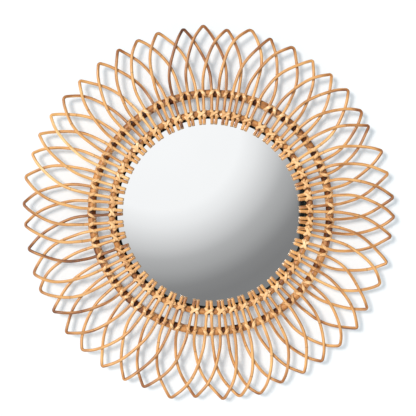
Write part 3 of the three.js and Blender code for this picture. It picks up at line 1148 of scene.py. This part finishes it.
@dataclass
class Ties:
    """The strips of peel that tie the canes to a hoop.

    The shapes of the strips are lists of points. On a cane, a point has its angle from the cane's
    front, and its shares of the strip's rise and lift. On the hoop, it has its share of the way
    sideways, and its angle from the hoop's front. On a loose end, it has its share of the length,
    and its depth.
    """

    ring: Ring
    scatter: TieScatter
    finish: bpy.types.Material
    name: str
    seat: HoopSeat
    knot: Knot
    seed: int
    width: float = 5.4
    width_scatter: Span = (0.88, 1.08)
    tone_spread: float = 0.2
    inwards: float = 1.0
    strip: float = 1.1
    bevel: float = 0.6
    slack: float = 0.08
    crease: float = 35.0
    slant_rises: Span = (2.4, 3.2)
    slant_spreads: Span = (3.4, 4.0)
    slant_turns: tuple[float, ...] = (-75, -38, 0, 38, 75)
    slant_behind: tuple[Span, ...] = (
        (0.93, -48), (1.0, -78), (0.9, -112), (0.55, -148), (0.0, -180),
        (-0.55, 148), (-0.9, 112), (-1.0, 78), (-0.93, 48),
    )
    cross_rises: Span = (3.9, 4.5)
    cross_slacks: Span = (0.0, 0.4)
    cross_over: tuple[Triple, ...] = ((-35, 0.3, 1.0), (15, 0.68, 0.7), (70, 1.05, 0.1))
    cross_beside: tuple[Span, ...] = ((1.0, 66), (0.97, 92), (0.86, 124))
    cross_sink: float = 0.1
    cross_gap: float = 0.1
    loose_lengths: Span = (2.6, 4.4)
    loose_depths: tuple[Span, ...] = ((0.0, 19.2), (0.5, 18.4), (1.0, 18.3))
    loose_tuck: float = 0.5
    loose_drop: Span = (-1.2, -3.4)
    loose_look: Triple = (-0.3, -0.95, 0)

    def over_cane(self, middle: float, turn: float, outwards: float,
                  lift: float = 0.0) -> StripPoint:
        """A point on a cane, at an angle from its front to its clockwise side."""
        lean = math.radians(turn)
        reach = self.ring.cane / 2 + self.slack
        return StripPoint(
            middle + reach * math.sin(lean), outwards,
            self.ring.cane_depth + reach * math.cos(lean) + lift,
            Vector((math.sin(lean), -math.cos(lean), 0)),
        )

    def on_hoop(self, sideways: float, turn: float) -> StripPoint:
        """A point on the hoop, at an angle from its front to its outer side."""
        lean = math.radians(turn)
        reach = self.seat.thickness / 2 + self.slack
        return StripPoint(
            sideways, reach * math.sin(lean), self.seat.depth + reach * math.cos(lean),
            Vector((0, -math.cos(lean), math.sin(lean))),
        )

    def slant(self, middle: float, way: float, dice: random.Random) -> list[StripPoint]:
        """A closed strip that crosses a cane at a slant and goes round behind the hoop.

        Args:
            middle: the cane's place sideways.
            way: 1 where the strip falls clockwise, -1 where it rises.
            dice: the source of its unevenness.

        Returns:
            The points once round.
        """
        rise = dice.uniform(*self.slant_rises)
        spread = dice.uniform(*self.slant_spreads)
        over = [self.over_cane(middle, turn * way, -rise * turn / self.slant_turns[-1])
                for turn in self.slant_turns]
        return over + [self.on_hoop(middle + way * spread * share, turn)
                       for share, turn in self.slant_behind]

    def over_share(self, point: StripPoint) -> float:
        """How far a point of a strip lies over the canes: 1 there, and 0 down beside the hoop."""
        return ease((point.depth - self.seat.depth) / (self.ring.cane_depth - self.seat.depth))

    def crossing(self, way: float, lift: float, dice: random.Random) -> list[StripPoint]:
        """An open strip that crosses both canes of a pair, tucked in beside the hoop at its ends.

        Args:
            way: 1 where the strip rises clockwise, -1 where it falls.
            lift: how far it rides over another strip in the middle.
            dice: the source of its unevenness.

        Returns:
            The points from one end to the other.
        """
        side = self.ring.half_spacing(self.seat.radius)
        rise = dice.uniform(*self.cross_rises)
        reach = side + self.ring.cane / 2 + dice.uniform(*self.cross_slacks)
        half = [self.over_cane(side, turn, way * rise * height, lift * share)
                for turn, height, share in self.cross_over]
        half += [self.on_hoop(reach * share, way * turn) for share, turn in self.cross_beside]
        front = self.ring.cane_depth + self.ring.cane / 2
        centre = StripPoint(0.0, 0.0, front - self.cross_sink + lift, Vector((0, -1, 0)))
        whole = [point.mirrored() for point in reversed(half)] + [centre] + half
        return [replace(point, outwards=point.outwards - self.inwards * self.over_share(point))
                for point in whole]

    def loose_end(self, dice: random.Random) -> list[StripPoint]:
        """The short end of a strip that stands off beside the pair, at its lower left."""
        side = self.ring.half_spacing(self.seat.radius) + self.ring.cane / 2 - self.loose_tuck
        long = dice.uniform(*self.loose_lengths)
        look = Vector(self.loose_look).normalized()
        return [StripPoint(-side - long * share, mix(*self.loose_drop, share), depth, look)
                for share, depth in self.loose_depths]

    def ribbon(self, points: list[StripPoint], closed: bool, width: float) -> tuple[
            list[Vector], list[tuple[int, ...]], list[Triple]]:
        """A strip with bevelled edges along some points.

        Args:
            points: the points of its underside.
            closed: whether it closes on itself.
            width: its width.

        Returns:
            Its corners in metres, its faces, and the grain's coordinates at each corner.
        """
        places = [Vector((point.sideways, -point.depth, self.seat.radius + point.outwards))
                  for point in points]
        half = width / 2
        section = ((-half, 0.0), (-half * self.bevel, self.strip),
                   (half * self.bevel, self.strip), (half, 0.0))
        corners, grain, run = [], [], 0.0
        count, size = len(places), len(section)
        for place, point in enumerate(points):
            before = places[place - 1] if closed or place else places[place]
            after = places[(place + 1) % count] if closed or place < count - 1 else places[place]
            way = (after - before).normalized()
            look = (point.look - way * point.look.dot(way)).normalized()
            across = way.cross(look)
            run += (places[place] - before).length if place else 0.0
            for side, height in section:
                corners.append((places[place] + across * side + look * height) * MILLIMETRE)
                grain.append((side / half, height, run * MILLIMETRE))
        faces = []
        for place in range(count if closed else count - 1):
            here, there = place * size, ((place + 1) % count) * size
            for step in range(size):
                after = (step + 1) % size
                faces.append((here + step, here + after, there + after, there + step))
        if not closed:
            faces += [tuple(range(size)), tuple(range((count - 1) * size, count * size))]
        return corners, faces, grain

    def tie(self, dice: random.Random, loose: bool) -> bpy.types.Object:
        """One tie, over a pair of canes at the top of the ring.

        Args:
            dice: the source of its unevenness.
            loose: whether the end of a strip stands off.

        Returns:
            The object, outside the scene.
        """
        side = self.ring.half_spacing(self.seat.radius)
        width = self.width * dice.uniform(*self.width_scatter)
        closed = self.knot is Knot.SINGLE
        if closed:
            strips = [self.slant(-side, -1, dice), self.slant(side, 1, dice)]
        else:
            over = self.strip + self.cross_gap
            strips = [self.crossing(-1, 0.0, dice), self.crossing(1, over, dice)]
            if loose:
                strips.append(self.loose_end(dice))
        corners, faces, grain = [], [], []
        for points in strips:
            more, around, lines = self.ribbon(points, closed, width)
            faces += [tuple(corner + len(corners) for corner in face) for face in around]
            corners += more
            grain += lines
        mesh = bpy.data.meshes.new("tie")
        mesh.from_pydata(corners, [], faces)
        layer = mesh.attributes.new("grain", "FLOAT_VECTOR", "POINT")
        layer.data.foreach_set("vector", [value for line in grain for value in line])
        return bpy.data.objects.new("tie", mesh)

    def build(self) -> None:
        """Scatters and dresses the ties of every pair."""
        dice = random.Random(self.seed)
        names = self.scatter.TIES
        variants = [self.tie(dice, number % 2 == 0) for number in range(len(names))]
        count = self.ring.petals
        pairs = bpy.data.meshes.new("pairs")
        pairs.from_pydata([Vector()] * count, [], [])
        readings = {
            "turn": [math.radians(self.ring.pair_angle(number)) for number in range(count)],
            "tone": [dice.gauss(0.0, self.tone_spread) for _ in range(count)],
            "seed": [dice.uniform(*SEEDS) for _ in range(count)],
        }
        for name, numbers in readings.items():
            pairs.attributes.new(name, "FLOAT", "POINT").data.foreach_set("value", numbers)
        values = {**dict(zip(names, variants)), "Seed": self.seed, "Finish": self.finish}
        mesh = grow(self.scatter.tree, pairs, values)
        for variant in variants:
            bpy.data.meshes.remove(variant.data)
        finish_piece(new_piece(self.name, mesh, self.crease), Slot.CANE, *self.seat.nodes)


@dataclass
class Glass:
    """The round mirror glass, dressed with its edge, its face and its back."""

    ring: Ring
    finishes: tuple[bpy.types.Material, bpy.types.Material, bpy.types.Material]
    steps: int = 180
    thickness: float = 3.0
    arris: float = 0.35
    crease: float = 30.0

    def build(self) -> None:
        """Turns the disc and dresses its edge, face and back."""
        back = self.ring.board_thickness + self.ring.touch
        front = back + self.thickness
        radius = self.ring.glass / 2
        profile = [(radius - self.arris, front), (radius, front - self.arris),
                   (radius, back + self.arris), (radius - self.arris, back)]
        corners = [self.ring.point(FULL_TURN * step / self.steps, out, depth) * MILLIMETRE
                   for out, depth in profile for step in range(self.steps)]
        faces = []
        for row in range(len(profile) - 1):
            low, high = row * self.steps, (row + 1) * self.steps
            for step in range(self.steps):
                after = (step + 1) % self.steps
                faces.append((low + step, low + after, high + after, high + step))
        faces.append(tuple(range(self.steps)))
        faces.append(tuple(reversed(range(len(corners) - self.steps, len(corners)))))
        mesh = bpy.data.meshes.new("glass")
        mesh.from_pydata(corners, [], faces)
        for material in self.finishes:
            mesh.materials.append(material)
        mesh.polygons[-2].material_index = 1
        mesh.polygons[-1].material_index = 2
        piece = new_piece("mirror_disc", mesh, self.crease)
        finish_piece(piece, Slot.GLASS, "mirror_glass")


@dataclass
class Back:
    """The board and its hanger, which keep their CAD shapes."""

    board: bpy.types.Material
    plate: bpy.types.Material

    def build(self) -> None:
        """Dresses both nodes."""
        for node, material in (("backing_board", self.board), ("sawtooth_hanger", self.plate)):
            piece = bpy.data.objects[node]
            piece.data.materials.clear()
            piece.data.materials.append(material)
            LOG.info("%s: dressed", node)


@dataclass
class Studio:
    """The pale wall and floor, the soft light and the camera.

    The glow that the glass mirrors is listed as distances from its middle, between directions
    of length 1, and brightnesses. The band lies between two places sideways in it.
    """

    wall_gap: float = 0.5
    wall_size: float = 6000.0
    floor_below: float = 900.0
    floor_white: Colour = (0.62, 0.61, 0.6, 1.0)
    floor_glow: Colour = grey(0.22)
    wall_white: Colour = (0.63, 0.635, 0.64, 1.0)
    wall_glow: Colour = (0.19, 0.212, 0.228, 1.0)
    ambient: Triple = (0.385, 0.485, 0.56)
    ambient_from: Triple = (-0.65, 0.0, 0.76)
    ambient_slope: float = 0.6
    key_strength: float = 2.75
    key_colour: Triple = (1.0, 0.945, 0.88)
    key_from: Triple = (-0.505, -1.0, 0.295)
    key_softness: float = 18.0
    lens: float = 100.0
    camera_place: Triple = (-4.8, -1875.0, 7.1)
    backdrop: Colour = grey(0.94)
    glow_from: Triple = (-0.041, -1.0, 0.067)
    glow_reach: float = 0.5
    glow_tint: Triple = (0.985, 1.0, 1.01)
    glow: tuple[Span, ...] = (
        (0.0, 1.04), (0.069, 1.02), (0.0835, 0.89), (0.103, 0.625), (0.112, 0.475),
        (0.123, 0.395), (0.136, 0.262), (0.148, 0.225), (0.24, 0.26), (0.4, 0.55),
    )
    band: Span = (0.0785, 0.095)
    band_edge: float = 0.001
    band_reach: Span = (0.2, 0.16)
    band_shade: Colour = grey(0.01)

    def plane(self, name: str, corners: list[Triple],
              material: bpy.types.Material) -> bpy.types.Object:
        """A stage plane.

        Args:
            name: its name.
            corners: its corners in millimetres, counter-clockwise as seen from its front.
            material: its finish.

        Returns:
            The object.
        """
        mesh = bpy.data.meshes.new(name)
        mesh.from_pydata([Vector(corner) * MILLIMETRE for corner in corners], [], [(0, 1, 2, 3)])
        mesh.materials.append(material)
        plane = bpy.data.objects.new(name, mesh)
        bpy.context.scene.collection.objects.link(plane)
        return plane

    def paint(self, name: str, white: Colour, glow: Colour) -> bpy.types.Material:
        """Matt pale paint that is seen from its front only.

        Args:
            name: its name.
            white: its colour.
            glow: the light that it adds, for the soft fill of a pale room.

        Returns:
            The material.
        """
        material, bench, shader = new_material(name)
        bench.give(shader, {
            "Base Color": white, "Roughness": 1.0, "Specular IOR Level": 0.0,
            "Emission Color": glow, "Emission Strength": 1.0,
        })
        clear = bench.add("ShaderNodeBsdfTransparent")
        behind = bench.add("ShaderNodeNewGeometry").outputs["Backfacing"]
        either = bench.add("ShaderNodeMixShader", {
            0: behind, 1: shader.outputs[0], 2: clear.outputs[0],
        })
        bench.give(bench.tree.nodes["Material Output"], {"Surface": either.outputs[0]})
        return material

    def build_walls(self) -> None:
        """The wall that the mirror hangs on and the floor below it."""
        size, low, wall = self.wall_size, -self.floor_below, self.wall_gap
        back = self.plane("studio_wall", [
            (-size, wall, low), (size, wall, low), (size, wall, size), (-size, wall, size),
        ], self.paint("wall_paint", self.wall_white, self.wall_glow))
        back.visible_shadow = False
        back.visible_glossy = False
        self.plane("studio_floor", [
            (-size, -size, low), (size, -size, low), (size, size, low), (-size, size, low),
        ], self.paint("floor_paint", self.floor_white, self.floor_glow))

    def window_glow(self, bench: NodeBench, way: bpy.types.NodeSocket) -> bpy.types.NodeSocket:
        """What the glass mirrors: a soft bright round with a dark band across it.

        Args:
            bench: the world's bench.
            way: the direction that is looked in.

        Returns:
            The colour socket.
        """
        centre = Vector(self.glow_from).normalized()
        apart = bench.vector("DISTANCE", way, centre, output="Value")
        stops = [(where / self.glow_reach, (*(value * tint for tint in self.glow_tint), 1.0))
                 for where, value in self.glow]
        glow = bench.ramp(bench.math("DIVIDE", apart, self.glow_reach), stops)
        sideways = bench.add("ShaderNodeSeparateXYZ", {0: way}).outputs["X"]
        (low, high), edge = self.band, self.band_edge
        inside = bench.math("MULTIPLY", bench.limits(sideways, (low - edge, low + edge)),
                            bench.limits(sideways, (high + edge, high - edge)))
        near = bench.limits(apart, self.band_reach)
        return bench.blend(bench.math("MULTIPLY", inside, near), glow, self.band_shade)

    def build_world(self) -> None:
        """Even light all round, pale to the camera, with the room's window glow in reflections."""
        world = bpy.data.worlds.new("studio")
        world.use_nodes = True
        bpy.context.scene.world = world
        bench = NodeBench(world.node_tree)
        world.node_tree.nodes.clear()
        way = bench.vector("NORMALIZE", bench.add("ShaderNodeTexCoord").outputs["Generated"])
        towards = Vector(self.ambient_from).normalized()
        lean = bench.vector("DOT_PRODUCT", way, towards, output="Value")
        level = bench.math("MULTIPLY_ADD", lean, self.ambient_slope, 1.0)
        even = bench.add("ShaderNodeVectorMath", {0: self.ambient, "Scale": level},
                         operation="SCALE")
        rays = bench.add("ShaderNodeLightPath").outputs
        colour = bench.blend(rays["Is Glossy Ray"], even.outputs[0], self.window_glow(bench, way))
        colour = bench.blend(rays["Is Camera Ray"], colour, self.backdrop)
        light = bench.add("ShaderNodeBackground", {"Color": colour, "Strength": 1.0})
        bench.add("ShaderNodeOutputWorld", {"Surface": light.outputs[0]})

    def build_key(self) -> None:
        """The soft key light from the upper left."""
        light = bpy.data.lights.new("key", "SUN")
        light.energy = self.key_strength
        light.color = self.key_colour
        light.angle = math.radians(self.key_softness)
        key = bpy.data.objects.new("key", light)
        key.rotation_euler = Vector(self.key_from).to_track_quat("Z", "Y").to_euler()
        bpy.context.scene.collection.objects.link(key)

    def build_camera(self) -> None:
        """The camera, square to the wall as in the photograph."""
        lens = bpy.data.cameras.new("camera")
        lens.lens = self.lens
        camera = bpy.data.objects.new("camera", lens)
        camera.location = Vector(self.camera_place) * MILLIMETRE
        camera.rotation_euler = (math.pi / 2, 0, 0)
        bpy.context.scene.collection.objects.link(camera)
        bpy.context.scene.camera = camera

    def build(self) -> None:
        """Sets up the whole studio."""
        self.build_walls()
        self.build_world()
        self.build_key()
        self.build_camera()
        bpy.context.scene.view_settings.view_transform = "Standard"
        LOG.info("studio: wall, floor, world, key and camera")


def main() -> None:
    """Builds the mirror piece by piece, then its studio."""
    logging.basicConfig(level=logging.INFO, format="%(name)s: %(message)s")
    ring = Ring()
    inner, outer = ring.inner_seat, ring.outer_seat
    sweep, scatter = PoleSweep(), TieScatter()
    cane, pole, peel = PEELED_CANE.make(), BARK_POLE.make(), PEEL_STRIP.make()
    PetalCanes(ring, sweep, cane).build()
    Hoop(ring, sweep, pole, "inner_hoop_pole", inner, tone=-0.2, seed=3).build()
    Hoop(ring, sweep, pole, "outer_hoop_pole", outer, tone=-0.15, seed=4).build()
    Ties(ring, scatter, peel, "inner_ties", inner, Knot.CROSS, seed=5,
         width=5.6, tone_spread=0.12).build()
    Ties(ring, scatter, peel, "outer_ties", outer, Knot.SINGLE, seed=6).build()
    Glass(ring, (GROUND_EDGE.make(), SILVERED_FACE.make(), BACKING_PAINT.make())).build()
    Back(BoardFinish().make(), ZINC_PLATE.make()).build()
    Studio().build()


if __name__ == "__main__":
    main()
